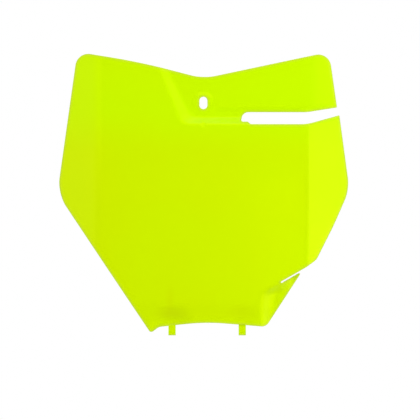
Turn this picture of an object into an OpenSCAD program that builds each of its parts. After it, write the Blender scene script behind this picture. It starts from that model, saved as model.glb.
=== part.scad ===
// Racing number board: one moulded sheet of glossy plastic, held by a screw at the top and two lugs below.
// The front faces -Y and +Z is up. The origin is the middle of the screw slot, on the face that the
// screw's washer presses. Places are given across (X) and up (Z) from there, in millimetres.

/* [Board] */
// Width between the sharp widest corners
board_w = 257; // [250:0.5:264]
// Height from the sharp lower left tip to the sharp upper corners
board_h = 247; // [240:0.5:256]
// Height of the sharp upper corners over the screw
top_z = 45; // [43:0.5:48]
// Thickness of the moulded wall
wall = 2.2; // [1.8:0.1:2.6]
// Radius of the sheet's bow from side to side
bow_r = 700; // [550:10:1200]
// Drop from the screw to the height where the upper part starts to lean back
lean_drop = 55; // [50:1:62]
// Lean of the upper part, as back per up
lean_slope = 0.12; // [0.08:0.01:0.15]
// Half of the height over which the lean comes in
lean_blend = 27; // [18:1:30]

/* [Side wings] */
// Width of a wing, from its crease to the widest corner
wing_w = 37.5; // [34:0.5:41]
// Half of the width over which a crease is rounded
crease_blend = 2.2; // [1.6:0.1:4]
// Extra slope of the wings beyond their creases, as back per across
wing_slope = 0.38; // [0.2:0.02:0.5]

/* [Upper edge] */
// Inset of the sharp upper corners from the widest corners
top_inset = 18.3; // [15:0.1:21]
// Rounding of the upper corners
top_r = 11.3; // [8:0.1:14]
// Depth of the sharp notch between the two upper edges
notch_d = 23.5; // [21:0.5:26]
// Rounding of that notch
notch_r = 51; // [35:1:65]
// Bulge of the upper left edge, half way along
top_bulge = 1.3; // [0.5:0.1:2]

/* [Side edges] */
// Inset of the upper right part's side edge at the hose slot
upper_side_inset = 11; // [10:0.1:13]
// Inset of the right wing's side edge at the hose slot
lower_side_inset = 9.2; // [7:0.1:10]
// Height of the widest corner on the left, over the lower left tip
wide_left_up = 122.6; // [120:0.2:125]
// Height of the widest corner on the right
wide_right_up = 126; // [123:0.2:128]
// Rounding of the widest corners
wide_r = 38; // [25:1:45]
// Inset of the right wing's lower corner
wing_tip_inset = 29.3; // [27:0.1:32]
// Height of the right wing's lower corner
wing_tip_up = 64.1; // [62:0.1:67]
// Rounding of the wing's lower corner
wing_tip_r = 12; // [4:1:16]
// Bulge of the right wing's lower edge, half way along
wing_bulge = 1; // [0.5:0.1:2]

/* [Lower edge] */
// Lower left tip, across
foot_x = -46.3; // [-48:0.1:-44]
// Rounding of the lower left tip
foot_r = 2.6; // [1.5:0.1:3.5]
// Distance from that tip to the root of its tooth, across
tooth_w = 7.4; // [6:0.1:9]
// Height of that tooth over the tip
tooth_h = 5.4; // [4.5:0.1:6.5]
// Highest point of the lower edge, across
arch_x = 1.8; // [-2:0.1:5]
// Height of the lower edge's highest point over the tip, with the edges on its sides straight
arch_h = 9.8; // [9:0.1:11]
// Rounding of the lower edge's highest point
arch_r = 180; // [100:5:220]
// Lower right corner, across
heel_x = 55; // [53:0.2:57]
// Height of the lower right corner over the tip
heel_h = 5.5; // [4:0.1:7]
// Rounding of the lower right corner
heel_r = 7; // [3:0.5:9]

/* [Screw slot] */
// Width of the slot, for an M6 screw
slot_w = 7; // [6.4:0.1:7.4]
// Height of the slot
slot_h = 10.8; // [9:0.1:12]
// Radius of the flat boss round the slot
boss_r = 9.5; // [8.5:0.1:10.5]
// Height of the boss over the pocket's floor, at the front and at the rear
boss_proud = 0.8; // [0.7:0.1:1]

/* [Hose pocket] */
// Drop from the screw to the pocket's lower edge, on the front of the board
pocket_drop = 18.5; // [18:0.1:19]
// Height taken up by the pocket's lower wall
pocket_wall_h = 6; // [5:0.1:6.5]
// Depth of the pocket at its lower edge
pocket_depth = 6; // [4:0.1:7]
// Lean of the pocket's floor, as back per up
floor_slope = 0.07; // [0.05:0.01:0.08]
// Outer line of the slanting side, across, at the pocket's lower edge
bevel_x = -21; // [-23:0.5:-19]
// Width of the slanting side at the lower edge
bevel_w = 12.2; // [10:0.1:14]
// Width of the slanting side at the height of the upper notch
bevel_top_w = 9.4; // [8:0.1:11]
// Slope of the slanting side's outer line, as across per up
bevel_lean = 0.42; // [0.38:0.01:0.46]
// Rounding where the two sides of the pocket meet, as a share of their widths
pocket_round = 0.8; // [0.2:0.1:1]
// Width of the shallow screwdriver groove in the pocket's lower edge
groove_w = 6; // [4:0.1:7]
// Depth of that groove
groove_d = 0.9; // [0.5:0.1:1.2]

/* [Hose slot] */
// Left end of the slot, across
hose_x = 33; // [31:0.5:36]
// Drop from the screw to the slot's upper edge
hose_top_drop = 8.1; // [7.8:0.1:9]
// Height of the slot
hose_h = 10.5; // [10:0.1:11.5]
// Rise of the upper edge beyond the crease, as up per across
hose_top_rise = 0.16; // [0.1:0.01:0.2]
// Rise of the lower edge beyond the crease, as up per across
hose_low_rise = 0.28; // [0.2:0.01:0.3]
// Rounding of both edges at the crease
hose_bend_r = 40; // [20:5:60]
// Width of the small ledge in the slot's lower left corner
ledge_w = 6; // [4:0.5:9]
// Height of that ledge
ledge_h = 2.2; // [1:0.1:3]
// Rounding of the slot's upper left end
hose_r = 6; // [4:0.5:7]

/* [Corner flap] */
// Distance from the crease in to the inner end of the slit
slit_inset = 22.4; // [21:0.2:25]
// Height of the slit's inner end over the lower left tip
slit_up = 44.7; // [43:0.1:46]
// Rise of the slit, as up per across
slit_rise = 0.57; // [0.54:0.01:0.6]
// Width of the slit
slit_w = 1.5; // [1.3:0.1:1.8]
// Distance from the crease in to the tip of the flap
flap_tip_inset = 4.1; // [3:0.1:6]
// Depth of the flap behind the board at its foot
flap_depth = 5; // [3:0.2:6]
// Further slope of the flap beyond its slanting side, as back per across
flap_slope = 0.06; // [0:0.01:0.1]
// Distance from the lower right corner in to the start of the flap's slanting side
flap_inset = 7; // [5:0.5:9]
// Greatest width of the flap's slanting side
flap_bevel_w = 11; // [9:0.5:12]

/* [Lower lip and lugs] */
// Height over the lower left tip where the lip starts to step back
lip_up = 24; // [22:0.5:26]
// Height over which the lip steps back
lip_h = 12; // [10:0.5:13]
// Depth of the step between the lugs
lip_depth = 2.4; // [1.5:0.1:3]
// Extra depth of the step at each lug
lug_dip = 3; // [2:0.1:3.5]
// Reach of that dip on each side of a lug
lug_dip_w = 20; // [15:1:24]
// Left lug, across
lug_left_x = -27.5; // [-29:0.1:-26]
// Distance between the lugs
lug_pitch = 61.6; // [60:0.1:63]
// Width of a lug
lug_w = 6.4; // [5:0.1:8]
// Thickness of a lug
lug_t = 3; // [2.4:0.1:3.4]
// Reach of a lug below the board's lower left tip
lug_reach = 2; // [1:0.1:4]
// Reach of the lug's catch in front of it
catch_d = 1; // [0.6:0.1:1.4]

/* [Hidden] */
// places that follow from the sizes above
wide_x = board_w / 2;
top_x = wide_x - top_inset;
crease_x = wide_x - wing_w;
foot_z = top_z - board_h;
notch_z = top_z - notch_d;
lean_z = -lean_drop;
pocket_z = -pocket_drop;
wing_tip_x = wide_x - wing_tip_inset;
wing_tip_z = foot_z + wing_tip_up;
wide_right_z = foot_z + wide_right_up;
hose_top_z = -hose_top_drop;
hose_low_z = hose_top_z - hose_h;
slit_x = crease_x - slit_inset;
slit_z = foot_z + slit_up;
flap_tip_x = crease_x - flap_tip_inset;
flap_x = heel_x - flap_inset;
lip_z = foot_z + lip_up;
lug_xs = [lug_left_x, lug_left_x + lug_pitch];
lug_tip_z = foot_z - lug_reach;
// half of the height over which the side edge steps out, inside the hose slot
side_jog = 1;
// reach of the outline into the slit at the flap's tip
slit_turn = 0.4;
// width of the ledge's slanting end
ledge_end_w = 2.4;
// rounding of sharp and small corners, of the ledge, of the tooth's root and of long bulging edges
sharp_r = 0.3;
small_r = 0.6;
ledge_r = 1.5;
tooth_r = 7;
bulge_r = 600;
wing_bulge_r = 250;
// set-back of a lug's face behind the sheet's front, and reach of its root up into the sheet
lug_set = 0.3;
lug_root_h = 3;
// heights over a lug's tip where the catch starts, where its edge starts and where its edge ends
catch_up = [4.2, 3.4, 2.6];
lug_chamfer = 0.6;
// largest gap between a rounded edge and its straight pieces
arc_error = 0.03;
// reach of the uncut sheet beyond the outline
spare = 4;
// half of the length of a cutter along Y
cutter_y = 100;
nudge = 0.01;
// share of a slanting side that is rounded at each end, on each side of its edge
side_blend = 0.2;
wall_blend = 0.25;
// stations across a slanting side, as shares of its width
side_stations = [-side_blend, 0, side_blend, 1 - side_blend, 1, 1 + side_blend];
wall_stations = [-wall_blend, 0, wall_blend, 1 - wall_blend, 1, 1 + wall_blend];
bow_slope = 1 / (2 * bow_r);
// depths behind the washer's face of the pocket's floor and of the board's plain front
floor_y = boss_proud;
front_y = floor_y + floor_slope * pocket_z - pocket_depth - lean_slope * (pocket_z - lean_z);
boss_t = wall + 2 * boss_proud;
slit_half = slit_w / 2;
lug_base_z = lip_z - lip_h;
top_reach = top_z + spare;
low_reach = foot_z - spare;
side_reach = wide_x + spare;

// Share of the way over a step, straight in the middle and rounded at both ends
function step(t, blend) =
    t <= -blend ? 0
    : t < blend ? (t + blend) ^ 2 / (4 * blend)
    : t <= 1 - blend ? t
    : t < 1 + blend ? 1 - (1 + blend - t) ^ 2 / (4 * blend)
    : 1;

// Distance past a crease that is rounded over twice the blend
function past(d, blend) =
    d <= -blend ? 0
    : d < blend ? (d + blend) ^ 2 / (4 * blend)
    : d;

function smooth_min(a, b, blend) = min(a, b) - max(blend - abs(a - b), 0) ^ 2 / (4 * blend);

// Swell of 1 at the middle, fading to 0 at the given reach
function swell(d, reach) = max(0, 1 - (d / reach) ^ 2) ^ 2;

// Height on the sheet of a row that is level at the middle: it follows the slit and the hose slot
slit_row_share = [[low_reach, 0], [slit_z - slit_w, 1], [slit_z + slit_w, 1], [lean_z - lean_blend, 0]];
hose_row_share = [[lean_z - lean_blend, 0], [pocket_z, 1], [pocket_z + pocket_wall_h, 1], [top_reach, 0]];
function height(x, row) =
    row
    + max(0, x - slit_x) * slit_rise * lookup(row, slit_row_share)
    + max(0, x - crease_x) * (hose_top_rise + hose_low_rise) / 2 * lookup(row, hose_row_share);

// Slanting side of the pocket: its outer line and width at a row
function bevel_out(row) = bevel_x - bevel_lean * max(0, row - pocket_z);
function bevel_width(row) =
    bevel_w + (bevel_top_w - bevel_w) * max(0, min(1, (row - pocket_z) / (notch_z - pocket_z)));

// Slanting side of the corner flap: it fans out from the slit's inner end. Each line holds a row, the
// slanting side's outer line there and its width
fan_z = slit_z - slit_w;
fan_lines = [
    [low_reach, flap_x, flap_bevel_w - 4],
    [lip_z, flap_x, flap_bevel_w],
    [fan_z - 10, flap_x + 2, flap_bevel_w],
    [fan_z - 4, flap_x + 7.5, flap_bevel_w - 3],
    [fan_z, slit_x - 5, 3.4],
    [lean_z - 2 * lean_blend, slit_x - 13, 12]
];
function fan_out(row) = lookup(row, [for (line = fan_lines) [line[0], line[1]]]);
function fan_width(row) = lookup(row, [for (line = fan_lines) [line[0], line[2]]]);
function fan_drop(row) = lookup(row, [[lip_z, flap_depth], [fan_z - 10, flap_depth * 0.85], [fan_z, 0.5]]);

// Depth of each thing behind the board's plain front
function lean(z) = lean_slope * past(z - lean_z, lean_blend);
function pocket(x, row, z) =
    (floor_y + floor_slope * z - front_y - lean(z)) * step(
        smooth_min((x - bevel_out(row)) / bevel_width(row), (row - pocket_z) / pocket_wall_h, pocket_round),
        side_blend);
function flap(x, row) =
    row > slit_z ? 0
    : fan_drop(row) * step((x - fan_out(row)) / fan_width(row), side_blend)
      + flap_slope * max(0, x - fan_out(row) - fan_width(row));
function lip(x, z) =
    (lip_depth + lug_dip * max([for (lug_x = lug_xs) swell(x - lug_x, lug_dip_w)]))
    * step((lip_z - z) / lip_h, side_blend);

// Front of the sheet, its direction to the rear and its rear, at a place across and a row
function front(x, row) =
    let (z = height(x, row))
    [x,
     front_y + bow_slope * x ^ 2 + wing_slope * past(abs(x) - crease_x, crease_blend) + lean(z)
     + pocket(x, row, z) + flap(x, row) + lip(x, z),
     z];
function inward(x, row) =
    let (along = front(x + nudge, row) - front(x - nudge, row),
         up = front(x, row + nudge) - front(x, row - nudge),
         n = cross(up, along))
    n / norm(n);
function rear(x, row) = front(x, row) + wall * inward(x, row);

// Lines of the sheet's net. The flap's step back happens between two rows inside the slit
slit_row = 0.8 * slit_half;
function span(a, b, n) = [for (k = [0 : n - 1]) a + (b - a) * k / n];
rows = concat(
    span(low_reach, lip_z - (1 + side_blend) * lip_h, 1),
    [for (t = [5 : -1 : 0]) lip_z - side_stations[t] * lip_h],
    span(lip_z + lip_h / 2, slit_z - slit_row, 3),
    [slit_z - slit_row],
    span(slit_z + slit_row, lean_z - lean_blend, 6),
    span(lean_z - lean_blend, lean_z + lean_blend, 6),
    [lean_z + lean_blend],
    [for (t = wall_stations) pocket_z + t * pocket_wall_h],
    span(pocket_z + 2 * pocket_wall_h, top_reach, 5),
    [top_reach]
);
function columns(row) = concat(
    span(-side_reach, -crease_x - crease_blend, 3),
    span(-crease_x - crease_blend, -crease_x + crease_blend, 3),
    span(-crease_x + crease_blend, bevel_out(row) - side_blend * bevel_width(row), 5),
    [for (t = side_stations) bevel_out(row) + t * bevel_width(row)],
    span(bevel_out(row) + 1.6 * bevel_width(row), fan_out(row) - side_blend * fan_width(row), 6),
    [for (t = side_stations) fan_out(row) + t * fan_width(row)],
    span(slit_x + slit_w, crease_x - crease_blend, 2),
    span(crease_x - crease_blend, crease_x + crease_blend, 3),
    span(crease_x + crease_blend, side_reach, 3),
    [side_reach]
);
row_n = len(rows);
col_n = len(columns(0));
side_n = row_n * col_n;
net = [for (row = rows) let (xs = columns(row)) for (x = xs) [x, row]];
sheet_points = concat([for (p = net) front(p[0], p[1])], [for (p = net) rear(p[0], p[1])]);

// Both triangles of a four-cornered face, parted from its first to its third corner
function halves(a, b, c, d) = [[a, b, c], [a, c, d]];
sheet_faces = concat(
    [for (j = [0 : row_n - 2], i = [0 : col_n - 2])
        let (a = j * col_n + i)
        each halves(a, a + col_n, a + col_n + 1, a + 1)],
    [for (j = [0 : row_n - 2], i = [0 : col_n - 2])
        let (a = side_n + j * col_n + i)
        each [[a, a + 1, a + col_n + 1], [a, a + col_n + 1, a + col_n]]],
    [for (i = [0 : col_n - 2], a = [i]) each halves(a, a + 1, a + 1 + side_n, a + side_n)],
    [for (i = [0 : col_n - 2], a = [(row_n - 1) * col_n + i])
        each halves(a, a + side_n, a + 1 + side_n, a + 1)],
    [for (j = [0 : row_n - 2], a = [j * col_n])
        each halves(a, a + side_n, a + col_n + side_n, a + col_n)],
    [for (j = [0 : row_n - 2], a = [j * col_n + col_n - 1])
        each halves(a, a + col_n, a + col_n + side_n, a + side_n)]
);

// Outline with rounded corners, each corner given as [across, up, radius]
function unit(v) = v / norm(v);
function flat(p) = [p[0], p[1]];
function turn(a, b) = let (d = b - a) d > 180 ? d - 360 : d < -180 ? d + 360 : d;
function corner(before, at, after) =
    let (u = unit(flat(before) - flat(at)),
         v = unit(flat(after) - flat(at)),
         r = at[2],
         half = acos(u * v) / 2,
         centre = flat(at) + unit(u + v) * r / sin(half),
         start = flat(at) + u * r / tan(half) - centre,
         end = flat(at) + v * r / tan(half) - centre,
         from = atan2(start[1], start[0]),
         sweep = turn(from, atan2(end[1], end[0])),
         n = max(2, ceil(abs(sweep) / (2 * acos(1 - arc_error / r)))))
    [for (k = [0 : n]) centre + r * [cos(from + sweep * k / n), sin(from + sweep * k / n)]];
function rounded(corners) =
    let (n = len(corners))
    [for (i = [0 : n - 1]) each corner(corners[(i + n - 1) % n], corners[i], corners[(i + 1) % n])];

// The flap's outer edge runs from its tip to the lower right corner
flap_tip_z = slit_z + (flap_tip_x - slit_x) * slit_rise - slit_half;
// The side edge steps out a little inside the hose slot
upper_side_x = wide_x - upper_side_inset;
lower_side_x = wide_x - lower_side_inset;
hose_end_z = (hose_top_z + hose_low_z + (upper_side_x - crease_x) * (hose_top_rise + hose_low_rise)) / 2;
outline = [
    [-top_x, top_z, top_r],
    [-top_x / 2, (top_z + notch_z) / 2 + 2 * top_bulge, bulge_r],
    [0, notch_z, notch_r],
    [top_x, top_z, top_r],
    [upper_side_x, hose_end_z + side_jog, sharp_r],
    [lower_side_x, hose_end_z - side_jog, sharp_r],
    [wide_x, wide_right_z, wide_r],
    [(wide_x + wing_tip_x) / 2 + wing_bulge, (wide_right_z + wing_tip_z) / 2, wing_bulge_r],
    [wing_tip_x, wing_tip_z, wing_tip_r],
    [flap_tip_x + slit_turn, flap_tip_z + slit_half + slit_turn, sharp_r],
    [flap_tip_x, flap_tip_z, small_r],
    [heel_x, foot_z + heel_h, heel_r],
    [arch_x, foot_z + arch_h, arch_r],
    [foot_x + tooth_w, foot_z + tooth_h, tooth_r],
    [foot_x, foot_z, foot_r],
    [-wide_x, foot_z + wide_left_up, wide_r]
];

// Shape drawn across and up, run through the sheet from front to rear
module through() {
    rotate([90, 0, 0])
        translate([0, 0, -cutter_y])
            linear_extrude(height = 2 * cutter_y)
                children();
}

module hose_slot() {
    end_x = side_reach + spare;
    through()
        polygon(rounded([
            [hose_x, hose_top_z, hose_r],
            [crease_x, hose_top_z, hose_bend_r],
            [end_x, hose_top_z + (end_x - crease_x) * hose_top_rise, small_r],
            [end_x, hose_low_z + (end_x - crease_x) * hose_low_rise, small_r],
            [crease_x, hose_low_z, hose_bend_r],
            [hose_x + ledge_w + ledge_end_w, hose_low_z, ledge_r],
            [hose_x + ledge_w, hose_low_z + ledge_h, ledge_r],
            [hose_x, hose_low_z + ledge_h, ledge_r]
        ]));
}

module slit() {
    angle = atan(slit_rise);
    through()
        translate([slit_x, slit_z])
            rotate(angle) {
                circle(d = slit_w, $fn = 24);
                translate([0, -slit_half])
                    square([side_reach, slit_w]);
            }
}

module screw_slot() {
    rise = (slot_h - slot_w) / 2;
    for (up = [-rise, rise])
        rotate([90, 0, 0])
            translate([0, up, -cutter_y])
                cylinder(h = 2 * cutter_y, d = slot_w, $fn = 64);
    translate([-slot_w / 2, -cutter_y, -rise])
        cube([slot_w, 2 * cutter_y, 2 * rise]);
}

// Groove across the edge between the pocket's lower wall and the front: its round bottom points half
// way between the two
module driver_groove() {
    wall_angle = atan(pocket_depth / pocket_wall_h);
    cutter_r = groove_w ^ 2 / (8 * groove_d) + groove_d / 2;
    translate([0, front_y + lean(pocket_z), pocket_z])
        rotate([-wall_angle / 2, 0, 0])
            translate([0, groove_d - cutter_r, -groove_w / 2])
                cylinder(h = groove_w, r = cutter_r, $fn = 64);
}

module boss() {
    rotate([-90, 0, 0])
        cylinder(h = boss_t, r = boss_r, $fn = 96);
}

// Locating lug, as its side profile: the root grows out of the lip's step, and the catch is near the tip
module lug(x) {
    face = front(x, lug_base_z)[1] + lug_set;
    back = face + lug_t;
    catch = face - catch_d;
    translate([x - lug_w / 2, 0, 0])
        rotate([90, 0, 90])
            linear_extrude(height = lug_w)
                polygon([
                    [front(x, lip_z)[1] + wall / 2, lip_z],
                    [face, lug_base_z],
                    [face, lug_tip_z + catch_up[0]],
                    [catch, lug_tip_z + catch_up[1]],
                    [catch, lug_tip_z + catch_up[2]],
                    [face + lug_chamfer, lug_tip_z],
                    [back - lug_chamfer, lug_tip_z],
                    [back, lug_tip_z + lug_chamfer],
                    [back, lug_base_z + lug_root_h]
                ]);
}

module sheet() {
    polyhedron(points = sheet_points, faces = sheet_faces, convexity = 8);
}

module number_board() {
    color([0.81, 0.97, 0.01])
        difference() {
            union() {
                difference() {
                    intersection() {
                        sheet();
                        through()
                            polygon(rounded(outline));
                    }
                    hose_slot();
                    slit();
                    driver_groove();
                }
                boss();
                for (x = lug_xs)
                    lug(x);
            }
            screw_slot();
        }
}

number_board();
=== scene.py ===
import math

import bmesh
import bpy
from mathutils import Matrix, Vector
from mathutils.bvhtree import BVHTree
from mathutils.geometry import intersect_line_line_2d


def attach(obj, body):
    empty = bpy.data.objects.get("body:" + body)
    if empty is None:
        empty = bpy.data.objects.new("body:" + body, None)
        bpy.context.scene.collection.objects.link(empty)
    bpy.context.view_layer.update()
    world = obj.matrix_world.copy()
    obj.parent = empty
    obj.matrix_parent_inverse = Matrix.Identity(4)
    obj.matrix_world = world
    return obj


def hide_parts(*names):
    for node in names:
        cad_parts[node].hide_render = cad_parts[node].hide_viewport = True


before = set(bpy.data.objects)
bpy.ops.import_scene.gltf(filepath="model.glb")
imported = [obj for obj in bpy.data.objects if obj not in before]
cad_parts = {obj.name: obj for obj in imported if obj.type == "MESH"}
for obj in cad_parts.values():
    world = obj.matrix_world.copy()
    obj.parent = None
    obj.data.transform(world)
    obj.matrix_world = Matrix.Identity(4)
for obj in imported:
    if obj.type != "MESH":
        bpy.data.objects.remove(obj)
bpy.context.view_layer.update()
metre = 0.001  # the pieces are shaped in millimetres, then scaled to metres
weldDistance = 0.0008
margin = 4.0  # how far some areas reach past what they hold

# The moulded sheet: x is across, z is up and y is back, from the middle of the screw slot
sheet = {
    "wall": 2.2, "wallStretch": 1.5, "rimRound": 0.5, "slotRound": 0.4, "sideBlend": 0.2, "tuck": 0.003,
    "bowRadius": 700.0, "leanZ": -55.0, "leanSlope": 0.12, "leanBlend": 27.0,
    "creaseX": 91.0, "creaseBlend": 2.2, "creaseBlendSoft": 7.0, "wingSlope": 0.38, "wingSlopeTop": 0.285,
    "topX": 110.6, "topLeftOut": 0.3, "topZ": 45.0, "topRadius": 11.3, "topBulge": 1.3, "bulgeRadius": 600.0,
    "notchZ": 21.5, "notchRadius": 51.0,
    "upperSideX": 117.9, "lowerSideX": 119.3, "sideJog": 1.0, "mouthRadius": 0.8,
    "wideX": 128.42, "wideLeftZ": -79.4, "wideRightZ": -76.0, "wideRadius": 40.0,
    "wingTipX": 99.2, "wingTipZ": -137.9, "wingTipRadius": 12.0, "wingBulge": 1.0, "wingBulgeRadius": 250.0,
    "footX": -46.3, "footZ": -202.0, "footRadius": 2.6, "toothW": 7.4, "toothH": 5.4, "toothRadius": 7.0,
    "archX": 1.8, "archH": 9.8, "archRadius": 180.0, "heelX": 55.0, "heelH": 5.5, "heelRadius": 7.0,
    "slotW": 7.0, "slotH": 10.8, "bossRadius": 8.7, "bossProud": 0.8, "bossFlare": 1.9,
    "pocketZ": -18.5, "pocketWallH": 6.0, "pocketDepth": 6.0, "floorSlope": 0.07, "pocketRound": 0.8,
    "channelDepth": 1.2, "channelTop": -3.4, "channelH": 4.6, "channelX": 8.0,
    "channelRamp": 5.0, "channelFade": 15.0, "channelBlend": 0.3,
    "bevelX": -19.3, "bevelW": 12.6, "bevelTopW": 8.9, "bevelLean": 0.41,
    "grooveW": 6.0, "grooveD": 0.9, "grooveSlope": 0.41, "grooveStretch": 1.08, "grooveBlend": 0.25,
    "hoseX": 33.0, "hoseEndLean": 1.6, "hoseTopZ": -8.1, "hoseLowZ": -18.6,
    "hoseTopRise": 0.16, "hoseLowRise": 0.28, "hoseBendRadius": 40.0, "hoseRadius": 6.0,
    "ledgeW": 6.0, "ledgeH": 2.2, "ledgeEndW": 2.4, "ledgeRadius": 1.5,
    "slitX": 68.6, "slitZ": -157.3, "slitRise": 0.57, "slitW": 1.25, "slitFade": 9.0, "slitFadeBlend": 0.25,
    "slitLipRadius": 20.0, "slitLipPast": (0.4, 1.15),  # where the wing's edge aims, past the flap's tip
    "flapTipX": 86.9, "flapTipRadius": 0.9, "flapDepth": 5.0, "flapX": 49.6, "flapBevelW": 11.0,
    "flapSlope": 0.06, "flapSlopeBlend": 2.0,
    "fanBlend": 0.38, "fanSmooth": 2.0, "fanH": 10.0, "fanEndShare": 0.9,
    "fanEndIn": 4.0, "fanEndW": 3.2, "fanTopIn": 13.0, "fanTopW": 12.0, "fanFootNarrower": 4.0,
    "fanRight": [(14.0, 0.6), (10.0, 1.8), (7.0, 4.0), (4.5, 7.2), (2.0, 11.8)],  # below the slit, right of flapX
    "fanNarrower": [(10.0, 0.4), (7.0, 1.6), (4.5, 3.4), (2.0, 5.6)],  # below the slit, narrower than flapBevelW
    "lipZ": -178.0, "lipH": 12.0, "lipDepth": 1.4, "lugDips": [4.3, 2.1], "lugDipW": 20.0,
}
# The lines of faces over the sheet, closer together where it turns
net = {
    "sideX": 129.0, "lowZ": -203.0, "highZ": 46.0, "arcError": 0.015, "rimShadeReach": 3.0,
    "rimRings": [0.07, 0.18, 0.33], "plainStep": 2.2, "creaseStep": 0.9, "creaseReach": 1.2,
    "wallStep": 0.8, "wallReach": 0.25, "lipStep": 1.5, "bevelFrom": -46.0, "bevelTo": -3.5, "bevelStep": 2.2,
    "fanRightX": 76.0, "fanLowZ": -201.0, "fanH": 12.0, "fanStepX": 2.2, "fanStepZ": 1.1,
    "grooveSpan": 4.5, "grooveHalfW": 4.4, "grooveHalfH": 3.4, "grooveStepX": 0.55, "grooveStepZ": 0.5,
    "slotCell": 11.0, "cellStep": 1.6,
    "flareRings": [1.15, 0.8, 0.45, 0.0, -0.45, -0.8, -1.15], "slotRings": [(1.8, 0.5), (1.0, 0.84)],
    "slotRimRings": [0.55, 0.2, 0.0],
}
lugs = {
    "places": [-27.5, 34.1], "width": 6.4, "thick": 3.0, "tipZ": -203.998, "setBack": 0.3, "faceY": -5.4,
    "overlap": 0.1, "rootH": 3.0, "catch": 1.0, "catchFoot": 0.1, "catchUp": [2.7, 1.9, 1.0, 0.75],
    "chamfer": 0.5, "edgeRound": 0.25,
}
s = sheet
floorY = s["bossProud"]
frontY = (floorY + s["floorSlope"] * s["pocketZ"] - s["pocketDepth"]
          - s["leanSlope"] * (s["pocketZ"] - s["leanZ"]))
lowZ, highZ = s["footZ"] - margin, s["topZ"] + margin
fanZ, fanTopZ = s["slitZ"] - s["slitW"], s["leanZ"] - 2 * s["leanBlend"]

# stations of (place, value) from the bottom up
slitShare = [(lowZ, 0), (fanZ, 1), (s["slitZ"] + s["slitW"], 1), (s["leanZ"] - s["leanBlend"], 0)]
hoseShare = [(s["leanZ"] - s["leanBlend"], 0), (s["pocketZ"], 1), (s["pocketZ"] + s["pocketWallH"], 1), (highZ, 0)]
fanOut = [(lowZ, s["flapX"]), (s["lipZ"], s["flapX"]),
          *((fanZ - below, s["flapX"] + right) for below, right in s["fanRight"]),
          (fanZ, s["slitX"] - s["fanEndIn"]), (fanTopZ, s["slitX"] - s["fanTopIn"])]
fanWidth = [(lowZ, s["flapBevelW"] - s["fanFootNarrower"]), (s["lipZ"], s["flapBevelW"]),
            *((fanZ - below, s["flapBevelW"] - narrower) for below, narrower in s["fanNarrower"]),
            (fanZ, s["fanEndW"]), (fanTopZ, s["fanTopW"])]
fanDrop = [(fanZ - s["fanH"], s["flapDepth"]), (fanZ, s["flapDepth"] * s["fanEndShare"])]


def lookUp(value, stations):  # straight lines between the stations
    if value <= stations[0][0]:
        return stations[0][1]
    for (a, low), (b, high) in zip(stations, stations[1:]):
        if value <= b:
            return low + (high - low) * (value - a) / (b - a)
    return stations[-1][1]


def softLookUp(value, stations):  # lookUp with its corners smoothed
    return sum(lookUp(value + s["fanSmooth"] * k / 3, stations) for k in range(-3, 4)) / 7


def easedStep(t, blend):  # 0 to 1, straight in the middle and rounded at both ends
    if t <= -blend:
        return 0.0
    if t < blend:
        return (t + blend) ** 2 / (4 * blend)
    if t <= 1 - blend:
        return t
    if t < 1 + blend:
        return 1 - (1 + blend - t) ** 2 / (4 * blend)
    return 1.0


def past(d, blend):  # distance past a rounded crease
    if d <= -blend:
        return 0.0
    return (d + blend) ** 2 / (4 * blend) if d < blend else d


def smoothMin(a, b, blend):
    return min(a, b) - max(blend - abs(a - b), 0) ** 2 / (4 * blend)


def swell(d, reach):  # 1 at the middle, running out smoothly at the reach
    return max(0.0, 1 - (d / reach) ** 2) ** 2


def rowAt(x, z):  # rows run level at the middle, and follow the slit and the hose slot at the right
    slitLift = max(0, x - s["slitX"]) * s["slitRise"]
    hoseLift = max(0, x - s["creaseX"]) * (s["hoseTopRise"] + s["hoseLowRise"]) / 2
    row = z
    if slitLift > 0:
        for _ in range(24):
            row = z - slitLift * lookUp(row, slitShare) - hoseLift * lookUp(row, hoseShare)
    return row


def nearGroove(x, z):
    return abs(x) < s["grooveW"] and abs(z - s["pocketZ"]) < s["grooveW"]


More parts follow.
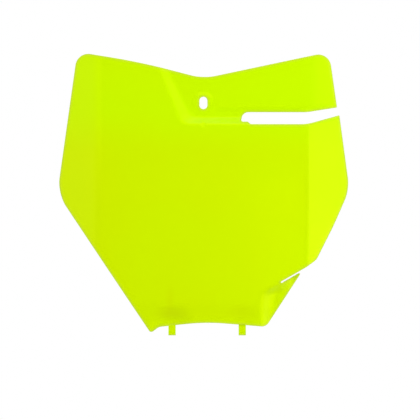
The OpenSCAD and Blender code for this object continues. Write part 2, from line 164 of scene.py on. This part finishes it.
def frontAt(x, z):  # depth of the sheet's front
    row = rowAt(x, z)
    lean = s["leanSlope"] * past(z - s["leanZ"], s["leanBlend"])
    aboveSlot = row > (s["hoseTopZ"] + s["hoseLowZ"]) / 2
    if x > 0 and not aboveSlot:  # the crease is crisp here alone
        wing = s["wingSlope"] * past(x - s["creaseX"], s["creaseBlend"])
    else:
        slope = s["wingSlopeTop"] if x > 0 else s["wingSlope"]
        wing = slope * past(abs(x) - s["creaseX"], s["creaseBlendSoft"])
    y = frontY + x * x / (2 * s["bowRadius"]) + wing + lean

    bevelOut = s["bevelX"] - s["bevelLean"] * max(0, row - s["pocketZ"])
    up = min(1, max(0, (row - s["pocketZ"]) / (s["notchZ"] - s["pocketZ"])))
    bevelWidth = s["bevelW"] + (s["bevelTopW"] - s["bevelW"]) * up
    inward = smoothMin((x - bevelOut) / bevelWidth, (row - s["pocketZ"]) / s["pocketWallH"], s["pocketRound"])
    pocket = easedStep(inward, s["sideBlend"])
    y += (floorY + s["floorSlope"] * z - frontY - lean) * pocket

    # the hose runs a little deeper than the pocket's floor
    begun = easedStep((x - s["channelX"]) / s["channelRamp"], s["channelBlend"])
    ended = easedStep((x - s["creaseX"]) / s["channelFade"], s["channelBlend"])
    channel = s["channelDepth"] * easedStep((s["channelTop"] - row) / s["channelH"], s["channelBlend"])
    y += channel * (begun - ended) * pocket

    if row < s["slitZ"]:  # the corner flap fans back from the slit's inner end
        under = easedStep((s["slitZ"] - row) / s["slitFade"], s["slitFadeBlend"])
        beside = easedStep((x - s["slitX"]) / s["slitFade"], s["slitFadeBlend"])
        share = 1 - (1 - under) * (1 - beside)
        out, width = softLookUp(row, fanOut), softLookUp(row, fanWidth)
        y += share * lookUp(row, fanDrop) * easedStep((x - out) / width, s["fanBlend"])
        y += share * s["flapSlope"] * past(x - s["flapX"] - s["flapBevelW"], s["flapSlopeBlend"])

    dip = max(deep * swell(x - place, s["lugDipW"]) for place, deep in zip(lugs["places"], s["lugDips"]))
    y += (s["lipDepth"] + dip) * easedStep((s["lipZ"] - z) / s["lipH"], s["sideBlend"])

    if nearGroove(x, z):  # the screwdriver groove over the edge of the pocket's lower wall
        grooveRadius = s["grooveW"] ** 2 / (8 * s["grooveD"]) + s["grooveD"] / 2
        edgeY = frontY + s["leanSlope"] * past(s["pocketZ"] - s["leanZ"], s["leanBlend"])
        hollow = s["grooveD"] - x * x / (2 * grooveRadius)
        cut = edgeY + s["grooveStretch"] * hollow + s["grooveSlope"] * (z - s["pocketZ"])
        y = -smoothMin(-y, -cut, s["grooveBlend"])
    return y


def bossShare(x, z):  # 1 on the flat boss round the screw slot, 0 on the sheet
    t = (s["bossRadius"] + s["bossFlare"] - math.hypot(x, z)) / (2 * s["bossFlare"])
    t = min(1, max(0, t))
    return t * t * (3 - 2 * t)


def sheetDepths(x, z):  # front and rear depth, with the boss
    near = 0.3
    front = frontAt(x, z)
    slopeX = (frontAt(x + near, z) - frontAt(x - near, z)) / (2 * near)
    slopeZ = (frontAt(x, z + near) - frontAt(x, z - near)) / (2 * near)
    if nearGroove(x, z):
        slopeX = 0  # the groove is in the front only
    rear = front + s["wall"] * min(s["wallStretch"], math.sqrt(1 + slopeX ** 2 + slopeZ ** 2))
    share = bossShare(x, z)
    return front * (1 - share) + s["tuck"], rear + share * (s["wall"] + 2 * s["bossProud"] - rear)


def outlineCorners():  # the sheet's edge as sharp corners (across, up, radius), with the hose slot and the slit in it
    mouthZ = (s["hoseTopZ"] + s["hoseLowZ"]
              + (s["upperSideX"] - s["creaseX"]) * (s["hoseTopRise"] + s["hoseLowRise"])) / 2
    farX, far = 140.0, 60.0  # lines are met well outside the sheet
    hoseTopEnd = (farX, s["hoseTopZ"] + (farX - s["creaseX"]) * s["hoseTopRise"])
    hoseLowEnd = (farX, s["hoseLowZ"] + (farX - s["creaseX"]) * s["hoseLowRise"])
    upperMouth = intersect_line_line_2d((s["topX"], s["topZ"]), (s["upperSideX"], mouthZ + s["sideJog"]),
                                        (s["creaseX"], s["hoseTopZ"]), hoseTopEnd)
    lowerMouth = intersect_line_line_2d((s["lowerSideX"], mouthZ - s["sideJog"]), (s["wideX"], s["wideRightZ"]),
                                        (s["creaseX"], s["hoseLowZ"]), hoseLowEnd)
    along = Vector((1, s["slitRise"])).normalized()
    across = Vector((-along.y, along.x)) * s["slitW"] / 2
    slitEnd = Vector((s["slitX"], s["slitZ"])) - along * s["slitW"] / 2
    slitOut = slitEnd + along * far
    flapTip = Vector((s["flapTipX"], s["slitZ"] + (s["flapTipX"] - s["slitX"]) * s["slitRise"] - s["slitW"] / 2))
    heel = Vector((s["heelX"], s["footZ"] + s["heelH"]))
    lipCorner = intersect_line_line_2d((s["wingTipX"], s["wingTipZ"]), flapTip + Vector(s["slitLipPast"]),
                                       slitEnd + across, slitOut + across)
    tip = intersect_line_line_2d(heel, flapTip + (flapTip - heel) * 0.1, slitEnd - across, slitOut - across)
    slitEndRadius = s["slitW"] / 2 - 0.01
    bulgeX, bulgeZ = (s["wideX"] + s["wingTipX"]) / 2 + s["wingBulge"], (s["wideRightZ"] + s["wingTipZ"]) / 2
    return [
        (-s["topX"] - s["topLeftOut"], s["topZ"], s["topRadius"]),
        (-s["topX"] / 2, (s["topZ"] + s["notchZ"]) / 2 + 2 * s["topBulge"], s["bulgeRadius"]),
        (0, s["notchZ"], s["notchRadius"]),
        (s["topX"], s["topZ"], s["topRadius"]),
        (*upperMouth, s["mouthRadius"]),
        (s["creaseX"], s["hoseTopZ"], s["hoseBendRadius"]),
        (s["hoseX"] + s["hoseEndLean"], s["hoseTopZ"], s["hoseRadius"]),
        (s["hoseX"], s["hoseLowZ"] + s["ledgeH"], s["ledgeRadius"]),
        (s["hoseX"] + s["ledgeW"], s["hoseLowZ"] + s["ledgeH"], s["ledgeRadius"]),
        (s["hoseX"] + s["ledgeW"] + s["ledgeEndW"], s["hoseLowZ"], s["ledgeRadius"]),
        (s["creaseX"], s["hoseLowZ"], s["hoseBendRadius"]),
        (*lowerMouth, s["mouthRadius"]),
        (s["wideX"], s["wideRightZ"], s["wideRadius"]),
        (bulgeX, bulgeZ, s["wingBulgeRadius"]),
        (s["wingTipX"], s["wingTipZ"], s["wingTipRadius"]),
        (*lipCorner, s["slitLipRadius"]),
        (*(slitEnd + across), slitEndRadius),
        (*(slitEnd - across), slitEndRadius),
        (*tip, s["flapTipRadius"]),
        (*heel, s["heelRadius"]),
        (s["archX"], s["footZ"] + s["archH"], s["archRadius"]),
        (s["footX"] + s["toothW"], s["footZ"] + s["toothH"], s["toothRadius"]),
        (s["footX"], s["footZ"], s["footRadius"]),
        (-s["wideX"], s["wideLeftZ"], s["wideRadius"]),
    ]


def roundCorners(bm, corners):  # a vertex bevel whose middle lies on the true arc
    count = len(corners)
    for i, (x, z, radius) in enumerate(corners):
        at = Vector((x, 0, z))
        before = Vector((corners[i - 1][0], 0, corners[i - 1][1])) - at
        after = Vector((corners[(i + 1) % count][0], 0, corners[(i + 1) % count][1])) - at
        turn = math.pi - before.angle(after)
        reach = radius * (1 / math.cos(turn / 2) - 1) / (2 * math.sin(turn / 2) * (1 - math.sqrt(0.5)))
        steps = max(2, math.ceil(turn / (2 * math.acos(1 - net["arcError"] / radius))))
        vert = min(bm.verts, key=lambda v: (v.co - at).length)
        bmesh.ops.bevel(bm, geom=[vert], offset=reach, offset_type="OFFSET", segments=steps, profile=0.5,
                        affect="VERTICES", material=-1, clamp_overlap=False)


def roundDrop(d, radius):  # how far a rounded edge has dropped, at a distance from the edge
    inner = max(0, radius - d)
    return radius - math.sqrt(radius * radius - inner * inner)


def placesBetween(marks, steps):  # evenly spaced places, each span between two marks with its own step
    places = []
    for (a, b), step in zip(zip(marks, marks[1:]), steps):
        n = max(1, round((b - a) / step))
        places += [a + (b - a) * k / n for k in range(n)]
    return places[1:]


def cutAlong(bm, axis, places, area=None):
    normal = Vector((1, 0, 0)) if axis == 0 else Vector((0, 0, 1))
    for place in places:
        faces = bm.faces[:]
        if area:
            x0, x1, z0, z1 = area
            middles = [(f, f.calc_center_median()) for f in faces]
            faces = [f for f, m in middles if x0 < m.x < x1 and z0 < m.z < z1]
        edges = {e for f in faces for e in f.edges}
        verts = {v for f in faces for v in f.verts}
        bmesh.ops.bisect_plane(bm, geom=[*verts, *edges, *faces], dist=0.0005, plane_co=normal * place,
                               plane_no=normal)


def cutNet(bm):
    crease, cell, plain = s["creaseX"], net["slotCell"], net["plainStep"]
    blend = s["creaseBlend"] * net["creaseReach"]
    wallLow = s["pocketZ"] - net["wallReach"] * s["pocketWallH"]
    lipLow, lipHigh = s["lipZ"] - (1 + s["sideBlend"]) * s["lipH"], s["lipZ"] + s["sideBlend"] * s["lipH"]
    cutAlong(bm, 0, placesBetween([-net["sideX"], -crease - blend, -crease + blend, -cell, cell,
                                   crease - blend, crease + blend, net["sideX"]],
                                  [plain, net["creaseStep"], plain, net["cellStep"], plain, net["creaseStep"], plain]))
    cutAlong(bm, 2, placesBetween([net["lowZ"], lipLow, lipHigh, wallLow, -cell, cell, net["highZ"]],
                                  [plain, net["lipStep"], plain, net["wallStep"], net["cellStep"], plain]))
    bevelArea = (net["bevelFrom"], net["bevelTo"], wallLow - 1, s["topZ"])
    cutAlong(bm, 0, placesBetween(bevelArea[:2], [net["bevelStep"]]), bevelArea)
    fanArea = (s["flapX"] - margin, net["fanRightX"], net["fanLowZ"], s["slitZ"] + margin)
    cutAlong(bm, 0, placesBetween(fanArea[:2], [net["fanStepX"]]), fanArea)
    cutAlong(bm, 2, placesBetween([fanZ - net["fanH"], fanArea[3]], [net["fanStepZ"]]), fanArea)
    grooveArea = (-net["grooveHalfW"], net["grooveHalfW"],
                  s["pocketZ"] - net["grooveHalfH"], s["pocketZ"] + net["grooveHalfH"])
    cutAlong(bm, 0, placesBetween([-net["grooveSpan"], net["grooveSpan"]], [net["grooveStepX"]]), grooveArea)
    cutAlong(bm, 2, placesBetween(grooveArea[2:], [net["grooveStepZ"]]), grooveArea)


def turnOf(x, z):  # where a point of the square cell goes on a circle, evenly spaced
    quarter = math.pi / 4
    if abs(x) >= abs(z):
        return quarter * z / x + (0 if x > 0 else math.pi)
    return math.pi / 2 - quarter * x / z + (0 if z > 0 else math.pi)


def ringSlot(bm, drop):  # the square cell round the screw slot gets rings instead of its net
    cell = net["slotCell"]
    inCell = [f for f in bm.faces if max(abs(c) for c in f.calc_center_median()) < cell]
    bmesh.ops.delete(bm, geom=inCell, context="FACES")
    outer = [e for e in bm.edges if e.is_boundary and all(max(map(abs, v.co)) < cell + 0.01 for v in e.verts)]
    turn = bm.verts.layers.float.new("slotTurn")
    for v in {v for e in outer for v in e.verts}:
        v[turn] = turnOf(v.co.x, v.co.z)
    rise, slot = (s["slotH"] - s["slotW"]) / 2, s["slotW"] / 2
    # each loop: radius, half height of its straight sides, and its distance from the rim in slotRounds
    loops = [(s["bossRadius"] + f * s["bossFlare"], 0, 1) for f in net["flareRings"]]
    loops += [(slot + out, rise * f, 1) for out, f in net["slotRings"]]
    loops += [(slot + s["slotRound"], rise, 1)]
    loops += [(slot + f * s["slotRound"], rise, f) for f in net["slotRimRings"]]
    for radius, up, far in loops:
        made = bmesh.ops.extrude_edge_only(bm, edges=outer)["geom"]
        verts = {g for g in made if isinstance(g, bmesh.types.BMVert)}
        outer = [g for g in made if isinstance(g, bmesh.types.BMEdge) and set(g.verts) <= verts]
        for v in verts:
            side = math.sin(v[turn])
            lift = up if side > 0.001 else -up if side < -0.001 else 0
            v.co = (radius * math.cos(v[turn]), 0, radius * side + lift)
            v[drop] = roundDrop(far * s["slotRound"], s["slotRound"])


def edgeTree(bm):  # the sheet's open edges as thin fins, to find how near a point is to them
    corners, fins = [], []
    for e in bm.edges:
        if e.is_boundary:
            a, b = (v.co.copy() for v in e.verts)
            corners += [a, b, b + Vector((0, 1, 0))]
            fins.append(tuple(range(len(corners) - 3, len(corners))))
    return BVHTree.FromPolygons(corners, fins)


def buildSheet(name):
    bm = bmesh.new()
    drop, near = bm.verts.layers.float.new("rimDrop"), bm.verts.layers.float.new("rimShadeNear")
    corners = outlineCorners()
    bm.faces.new([bm.verts.new((x, 0, z)) for x, z, _ in corners])
    roundCorners(bm, corners)
    core = bm.faces[:][0]
    for v in bm.verts:
        v[drop] = s["rimRound"]
    reached = 0.0
    for distance in (*net["rimRings"], s["rimRound"]):  # rings that carry the rounded rim
        bmesh.ops.inset_region(bm, faces=[core], use_boundary=True, use_even_offset=True,
                               thickness=distance - reached, depth=0)
        reached = distance
        for v in core.verts:
            v[drop] = roundDrop(distance, s["rimRound"])
    cutNet(bm)
    ringSlot(bm, drop)

    # how near each point is to an open edge, the mask for the painted shade along the edges
    tree = edgeTree(bm)
    for v in bm.verts:
        v[near] = max(0, net["rimShadeReach"] - tree.find_nearest(v.co)[3])
    made = bmesh.ops.extrude_face_region(bm, geom=bm.faces[:])["geom"]
    rearVerts = {g for g in made if isinstance(g, bmesh.types.BMVert)}
    for v in bm.verts:
        front, rear = sheetDepths(v.co.x, v.co.z)
        v.co.y = rear - v[drop] if v in rearVerts else front + v[drop]
    return finishPiece(bm, name)


def buildLugs(name):
    bm = bmesh.new()
    for x in lugs["places"]:
        baseZ = s["lipZ"] - s["lipH"]
        front = frontAt(x, baseZ)
        face = min(max(front + lugs["setBack"], lugs["faceY"]), front + s["wall"] - lugs["overlap"])
        back, catch, tip = face + lugs["thick"], face - lugs["catch"], lugs["tipZ"]
        profile = [
            (frontAt(x, s["lipZ"]) + s["wall"] / 2, s["lipZ"]), (face, baseZ), (face, tip + lugs["catchUp"][0]),
            (catch, tip + lugs["catchUp"][1]), (catch, tip + lugs["catchUp"][2]),
            (face - lugs["catchFoot"], tip + lugs["catchUp"][3]), (face, tip + lugs["chamfer"]),
            (face + lugs["chamfer"], tip), (back - lugs["chamfer"], tip), (back, tip + lugs["chamfer"]),
            (back, baseZ + lugs["rootH"]),
        ]
        side = bm.faces.new([bm.verts.new((x - lugs["width"] / 2, y, z)) for y, z in profile])
        moved = bmesh.ops.extrude_face_region(bm, geom=[side])["geom"]
        bmesh.ops.translate(bm, verts=[g for g in moved if isinstance(g, bmesh.types.BMVert)],
                            vec=(lugs["width"], 0, 0))
    bmesh.ops.recalc_face_normals(bm, faces=bm.faces)
    bmesh.ops.bevel(bm, geom=bm.edges[:], offset=lugs["edgeRound"], offset_type="OFFSET", segments=3, profile=0.5,
                    affect="EDGES", material=-1, clamp_overlap=True)
    return finishPiece(bm, name)


def finishPiece(bm, name):
    bmesh.ops.remove_doubles(bm, verts=bm.verts, dist=weldDistance)
    bmesh.ops.recalc_face_normals(bm, faces=bm.faces)
    bmesh.ops.scale(bm, vec=(metre, metre, metre), verts=bm.verts)
    for f in bm.faces:
        f.smooth = True
    mesh = bpy.data.meshes.new(name)
    bm.to_mesh(mesh)
    bm.free()
    piece = bpy.data.objects.new(name, mesh)
    bpy.context.scene.collection.objects.link(piece)
    print(name, len(mesh.vertices), "vertices", len(mesh.polygons), "faces")
    return piece


plastic = {
    # the rim colour is painted shade along the sheet's open edges
    "limeColour": (0.56, 0.93, 0.0, 1), "yellowerColour": (0.605, 0.835, 0.0, 1),
    "paintedRimShadeColour": (0.56, 0.765, 0.025, 1), "paintedRimShadeFade": 2.8, "roughness": (0.15, 0.22),
    "gloss": 0.6, "glossTint": (1.0, 1.0, 0.0, 1),
    # painted shade of the dips over the lugs' thick roots: across, up, half width, half height, share
    "paintedDipShadeSpots": [(-0.0288, -0.1846, 0.02, 0.0085, 0.5), (-0.0292, -0.172, 0.006, 0.017, 0.32),
              (0.032, -0.183, 0.02, 0.008, 0.16)],
    "paintedDipShadeColour": (0.565, 0.735, 0.0, 1),
    # shares of lime, the lighter tone: painted light per metre to the right, a share at the middle, random tone from
    # the clouds and painted light on the leaning upper part
    "paintedLightAcross": 1.4, "toneMiddle": 0.02, "toneCloud": 0.5, "paintedLightLeaned": 0.66, "leanedUp": 5.0,
    # scale and detail of the noises
    "clouds": (14.0, 3), "mottle": (70.0, 4), "waves": (22.0, 1), "grain": (2600.0, 2),
    "waveDepth": 0.0002, "grainDepth": 0.00002,
}


def boardPlastic():  # glossy fluorescent polypropylene, coloured right through; its base colour also carries painted light toward the right and on the leaning upper part, and painted shade along the edges and over the lugs' roots
    material = bpy.data.materials.new("fluorescentPlastic")
    material.use_nodes = True
    nodes, links = material.node_tree.nodes, material.node_tree.links
    shader = nodes["Principled BSDF"]
    place = nodes.new("ShaderNodeTexCoord").outputs["Object"]

    def noiseAt(scale, detail):
        texture = nodes.new("ShaderNodeTexNoise")
        texture.inputs["Scale"].default_value = scale
        texture.inputs["Detail"].default_value = detail
        links.new(place, texture.inputs["Vector"])
        return texture.outputs["Fac"]

    def sumOf(source, factor, more):  # source * factor + more
        maths = nodes.new("ShaderNodeMath")
        maths.operation = "MULTIPLY_ADD"
        links.new(source, maths.inputs[0])
        maths.inputs[1].default_value = factor
        if isinstance(more, float):
            maths.inputs[2].default_value = more
        else:
            links.new(more, maths.inputs[2])
        return maths.outputs["Value"]

    def rangeOf(source, fromRange, toRange, kind="SMOOTHSTEP"):
        ramp = nodes.new("ShaderNodeMapRange")
        ramp.interpolation_type = kind
        ramp.inputs["From Min"].default_value, ramp.inputs["From Max"].default_value = fromRange
        ramp.inputs["To Min"].default_value, ramp.inputs["To Max"].default_value = toRange
        links.new(source, ramp.inputs["Value"])
        return ramp.outputs["Result"]

    def mixOf(share, first, second):  # first is a colour or a socket, second a colour
        mix = nodes.new("ShaderNodeMix")
        mix.data_type = "RGBA"
        if isinstance(first, tuple):
            mix.inputs["A"].default_value = first
        else:
            links.new(first, mix.inputs["A"])
        mix.inputs["B"].default_value = second
        links.new(share, mix.inputs["Factor"])
        return mix.outputs["Result"]

    axes = nodes.new("ShaderNodeSeparateXYZ")
    links.new(place, axes.inputs[0])
    # painted light: the tone runs limer toward the right and on the leaning upper part, as if lit more there; the
    # clouds add random tone
    paintedLightAndCloudTone = sumOf(axes.outputs["X"], plastic["paintedLightAcross"], plastic["toneMiddle"])
    leanedRange = ((s["leanZ"] + plastic["leanedUp"]) * metre, 0.0)
    paintedLightAndCloudTone = sumOf(rangeOf(axes.outputs["Z"], leanedRange, (0.0, plastic["paintedLightLeaned"])), 1.0, paintedLightAndCloudTone)
    paintedLightAndCloudTone = sumOf(noiseAt(*plastic["clouds"]), plastic["toneCloud"], paintedLightAndCloudTone)
    # painted shade over the lugs' roots, standing in for the shading of the dips there
    paintedDipShade = 0.0
    for x, z, halfWidth, halfHeight, depth in plastic["paintedDipShadeSpots"]:
        spot = nodes.new("ShaderNodeMapping")
        spot.inputs["Location"].default_value = (-x / halfWidth, 0, -z / halfHeight)
        spot.inputs["Scale"].default_value = (1 / halfWidth, 0, 1 / halfHeight)
        links.new(place, spot.inputs["Vector"])
        far = nodes.new("ShaderNodeVectorMath")
        far.operation = "LENGTH"
        links.new(spot.outputs["Vector"], far.inputs[0])
        paintedDipShade = sumOf(rangeOf(far.outputs["Value"], (0.0, 1.0), (depth, 0.0)), 1.0, paintedDipShade)
    # painted shade along the sheet's open edges and the slots' rims, darkest at the edge and fading inward
    edge = nodes.new("ShaderNodeAttribute")
    edge.attribute_name = "rimShadeNear"
    paintedRimShadeShare = rangeOf(edge.outputs["Fac"], (net["rimShadeReach"] - plastic["paintedRimShadeFade"], net["rimShadeReach"]), (0.0, 1.0))
    # lime where the painted light and the clouds reach, then the painted dip shade, then the painted rim shade
    colour = mixOf(paintedLightAndCloudTone, plastic["yellowerColour"], plastic["limeColour"])
    colour = mixOf(paintedDipShade, colour, plastic["paintedDipShadeColour"])
    colour = mixOf(paintedRimShadeShare, colour, plastic["paintedRimShadeColour"])
    links.new(colour, shader.inputs["Base Color"])

    rough = rangeOf(noiseAt(*plastic["mottle"]), (0.0, 1.0), plastic["roughness"], "LINEAR")
    links.new(rough, shader.inputs["Roughness"])

    wave, grain = nodes.new("ShaderNodeBump"), nodes.new("ShaderNodeBump")
    wave.inputs["Distance"].default_value = plastic["waveDepth"]
    links.new(noiseAt(*plastic["waves"]), wave.inputs["Height"])
    grain.inputs["Distance"].default_value = plastic["grainDepth"]
    links.new(noiseAt(*plastic["grain"]), grain.inputs["Height"])
    links.new(wave.outputs["Normal"], grain.inputs["Normal"])
    links.new(grain.outputs["Normal"], shader.inputs["Normal"])

    shader.inputs["Specular IOR Level"].default_value = plastic["gloss"]
    shader.inputs["Specular Tint"].default_value = plastic["glossTint"]
    return material


print("shaping the moulded sheet")
mouldedSheet = buildSheet("mouldedSheet")
locatingLugs = buildLugs("locatingLugs")
finish = boardPlastic()
for piece in (mouldedSheet, locatingLugs):
    piece.data.materials.append(finish)
    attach(piece, "root")
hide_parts("number_board")

studio = {
    "floorZ": -0.37, "floorSize": 3.0, "floorColour": (0.74, 0.74, 0.74, 1), "floorRoughness": 0.8,
    "floorGlow": 0.7, "ambient": 0.62, "white": (1, 1, 1, 1),
    # name: place, aim, width, height and power in watts
    "panels": {
        "frontPanel": ((-0.25, -2.2, -0.06), (0, 0, -0.06), 2.0, 0.4, 1.15),
        "rightFrontPanel": ((0.63, -2.4, -0.06), (0.07, 0, -0.06), 0.42, 0.3, 0.31),
        "rightPanel": ((1.54, -0.93, 0.11), (0.05, 0, 0.0), 0.46, 0.66, 2.3),
        "leftFrontPanel": ((-1.34, -1.49, 0.0), (0, 0, -0.02), 0.95, 0.6, 1.25),
        "leftPanel": ((-1.54, -0.93, -0.04), (-0.05, 0, -0.04), 0.5, 0.52, 1.12),
        "leftHighPanel": ((-1.22, -0.85, 0.42), (0, 0, -0.03), 1.2, 0.45, 1.75),
        "lowRightPanel": ((0.5, -0.34, -0.235), (0.06, 0, -0.19), 0.35, 0.24, 0.46),
        "topPanel": ((0.2, -0.44, 0.75), (0, 0, -0.04), 1.5, 0.92, 3.8),
        "highPanel": ((0.9, -0.9, 0.9), (0, 0, -0.08), 0.7, 0.7, 0.7),
    },
}
camera = {"distance": 10.0, "middle": (0.0058, 0.005, -0.094), "viewWidth": 0.3689, "sensor": 36.0, "clipEnd": 50.0}


def whiteForCamera(nodes, links, seen, lit):  # the background is white to the camera and to reflections
    path = nodes.new("ShaderNodeLightPath")
    share = path.outputs["Is Camera Ray"]
    for ray in ("Is Glossy Ray", "Is Transmission Ray"):
        either = nodes.new("ShaderNodeMath")
        either.operation = "MAXIMUM"
        links.new(share, either.inputs[0])
        links.new(path.outputs[ray], either.inputs[1])
        share = either.outputs["Value"]
    mix = nodes.new("ShaderNodeMixShader")
    links.new(share, mix.inputs["Fac"])
    links.new(lit, mix.inputs[1])
    links.new(seen, mix.inputs[2])
    return mix.outputs["Shader"]


def buildStudio():
    world = bpy.data.worlds.new("studioWorld")
    world.use_nodes = True
    bpy.context.scene.world = world
    nodes, links = world.node_tree.nodes, world.node_tree.links
    lit, seen = nodes["Background"], nodes.new("ShaderNodeBackground")
    lit.inputs["Color"].default_value = seen.inputs["Color"].default_value = studio["white"]
    lit.inputs["Strength"].default_value = studio["ambient"]
    links.new(whiteForCamera(nodes, links, seen.outputs[0], lit.outputs[0]), nodes["World Output"].inputs["Surface"])

    bm = bmesh.new()
    bmesh.ops.create_grid(bm, x_segments=1, y_segments=1, size=studio["floorSize"] / 2)
    bmesh.ops.translate(bm, verts=bm.verts, vec=(0, 0, studio["floorZ"]))
    mesh = bpy.data.meshes.new("paleFloor")
    bm.to_mesh(mesh)
    bm.free()
    floor = bpy.data.objects.new("paleFloor", mesh)
    bpy.context.scene.collection.objects.link(floor)
    material = bpy.data.materials.new("palePaint")
    material.use_nodes = True
    nodes, links = material.node_tree.nodes, material.node_tree.links
    paint = nodes["Principled BSDF"]
    paint.inputs["Base Color"].default_value = studio["floorColour"]
    paint.inputs["Roughness"].default_value = studio["floorRoughness"]
    glow = nodes.new("ShaderNodeEmission")
    glow.inputs["Strength"].default_value = studio["floorGlow"]
    both = nodes.new("ShaderNodeAddShader")
    links.new(paint.outputs[0], both.inputs[0])
    links.new(glow.outputs[0], both.inputs[1])
    shown = whiteForCamera(nodes, links, both.outputs[0], paint.outputs[0])
    links.new(shown, nodes["Material Output"].inputs["Surface"])
    mesh.materials.append(material)

    for name, (place, aim, width, height, power) in studio["panels"].items():
        lamp = bpy.data.lights.new(name, "AREA")
        lamp.shape, lamp.size, lamp.size_y, lamp.energy = "RECTANGLE", width, height, power
        panel = bpy.data.objects.new(name, lamp)
        panel.location = place
        panel.rotation_euler = (Vector(aim) - Vector(place)).to_track_quat("-Z", "Y").to_euler()
        panel.visible_camera = False
        bpy.context.scene.collection.objects.link(panel)


def buildCamera():
    lens = bpy.data.cameras.new("frontCamera")
    lens.sensor_width = camera["sensor"]
    lens.lens = camera["sensor"] * camera["distance"] / camera["viewWidth"]
    lens.clip_end = camera["clipEnd"]
    eye = bpy.data.objects.new("frontCamera", lens)
    eye.location = Vector(camera["middle"]) - Vector((0, camera["distance"], 0))
    eye.rotation_euler = (math.pi / 2, 0, 0)
    bpy.context.scene.collection.objects.link(eye)
    bpy.context.scene.camera = eye


buildStudio()
buildCamera()
bpy.context.scene.view_settings.view_transform = "Standard"
print("studio ready")
